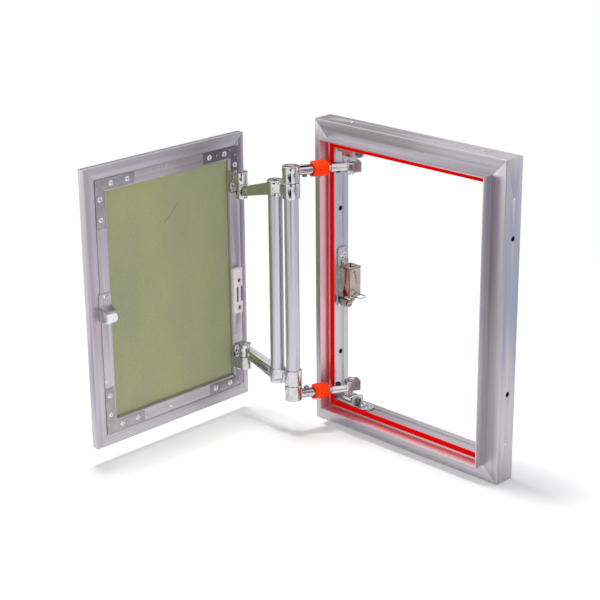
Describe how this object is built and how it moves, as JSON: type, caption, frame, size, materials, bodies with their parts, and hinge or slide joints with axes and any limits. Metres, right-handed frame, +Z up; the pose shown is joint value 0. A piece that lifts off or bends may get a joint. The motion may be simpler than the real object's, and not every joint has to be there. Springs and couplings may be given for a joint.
{
  "type": "tile access panel",
  "caption": "Aluminium wall hatch for tiling with a board-backed door held open on a two-link hinge, with a push latch, a magnet catch and a roller catch.",
  "frame": {"origin": "middle of the sill: half way along the frame's bottom edge and at half its depth", "axes": "+Z up, +Y into the wall, +X to the right as seen from the room"},
  "size_m": [0.3934, 0.3283, 0.4],
  "materials": {
    "aluminium": "satin mill finish",
    "key_cast": "rough cast",
    "seal_rubber": "matte red foam rubber",
    "board": "green gypsum board faced with card",
    "chrome": "polished",
    "sleeve_paint": "orange-red gloss",
    "zinc": "zinc plated",
    "dark_steel": "dark plated",
    "latch_nickel": "brownish nickel",
    "white_plastic": "moulded white"
  },
  "bodies": {
    "frame": {"frame_bottom_rail": "aluminium", "frame_top_rail": "aluminium", "frame_left_jamb": "aluminium", "frame_right_jamb": "aluminium", "frame_corner_keys": "key_cast", "door_seal": "seal_rubber", "hinge_base_bottom": "zinc", "hinge_base_top": "zinc", "hinge_slide_block_bottom": "zinc", "hinge_slide_block_top": "zinc", "hinge_base_screws": "zinc", "hinge_adjusting_screws": "dark_steel", "frame_pivot_pins": "chrome", "latch_base_plate": "zinc", "latch_housing": "latch_nickel", "latch_cover_screws": "zinc", "latch_top_pin": "dark_steel", "latch_pivot_pin": "latch_nickel", "latch_spring": "latch_nickel", "latch_release_wire": "latch_nickel", "latch_screw": "zinc", "keeper_plate": "zinc", "keeper_screws": "zinc"},
    "frame_arm": {"frame_arm_bottom": "chrome", "frame_arm_top": "chrome", "arm_sleeve_bottom": "sleeve_paint", "arm_sleeve_top": "sleeve_paint", "arm_set_screws": "dark_steel", "arm_cap_screws": "dark_steel", "elbow_pins": "chrome"},
    "door_arm": {"door_arm_bottom": "chrome", "door_arm_top": "chrome", "elbow_tube": "chrome", "second_tube": "chrome"},
    "door": {"door_bottom_rail": "aluminium", "door_top_rail": "aluminium", "door_hinge_stile": "aluminium", "door_free_stile": "aluminium", "gypsum_board": "board", "corner_plate_bottom_hinge": "dark_steel", "corner_plate_top_hinge": "dark_steel", "corner_plate_bottom_free": "dark_steel", "corner_plate_top_free": "dark_steel", "corner_rivets": "zinc", "door_bracket_bottom": "zinc", "door_bracket_top": "zinc", "door_bracket_screws": "zinc", "door_pivot_pins": "chrome", "magnet_catch_body": "white_plastic", "magnet_pole_plates": "zinc", "magnet_catch_screws": "zinc", "catch_bracket": "zinc", "catch_screw": "zinc", "catch_roller_pin": "latch_nickel"},
    "latch_lever": {"latch_lever": "latch_nickel", "latch_roller_pin": "latch_nickel"},
    "latch_roller": {"latch_roller": "latch_nickel"},
    "catch_roller": {"catch_roller": "white_plastic"}
  },
  "joints": [
    {"name": "frame_arm_swing", "type": "hinge", "parent": "frame", "child": "frame_arm", "pos_m": [-0.1, -0.0021, 0.2], "axis": [0, 0, 1], "range_deg": [0, 140.7]},
    {"name": "elbow_swing", "type": "hinge", "parent": "frame_arm", "child": "door_arm", "pos_m": [-0.1339, -0.0724, 0.2], "axis": [0, 0, 1], "range_deg": [-124.09, 0]},
    {"name": "door_swing", "type": "hinge", "parent": "door_arm", "child": "door", "pos_m": [-0.2167, -0.0775, 0.2], "axis": [0, 0, 1], "range_deg": [0, 73.39]},
    {"name": "latch_lever_push", "type": "hinge", "parent": "frame", "child": "latch_lever", "pos_m": [-0.11, 0.0072, 0.205], "axis": [1, 0, 0], "range_deg": [0, 6], "stiffness_Nm_per_rad": 0.4, "springref_deg": -5.73},
    {"name": "latch_roller_spin", "type": "hinge", "parent": "latch_lever", "child": "latch_roller", "pos_m": [-0.11, -0.0023, 0.165], "axis": [1, 0, 0], "continuous": true},
    {"name": "catch_roller_spin", "type": "hinge", "parent": "door", "child": "catch_roller", "pos_m": [-0.2248, -0.2896, 0.192], "axis": [0, 1, 0], "continuous": true}
  ],
  "couplings": [
    {"joint": "elbow_swing", "follows": "frame_arm_swing", "ratio": -0.88158},
    {"joint": "door_swing", "follows": "frame_arm_swing", "ratio": 0.52125}
  ]
}
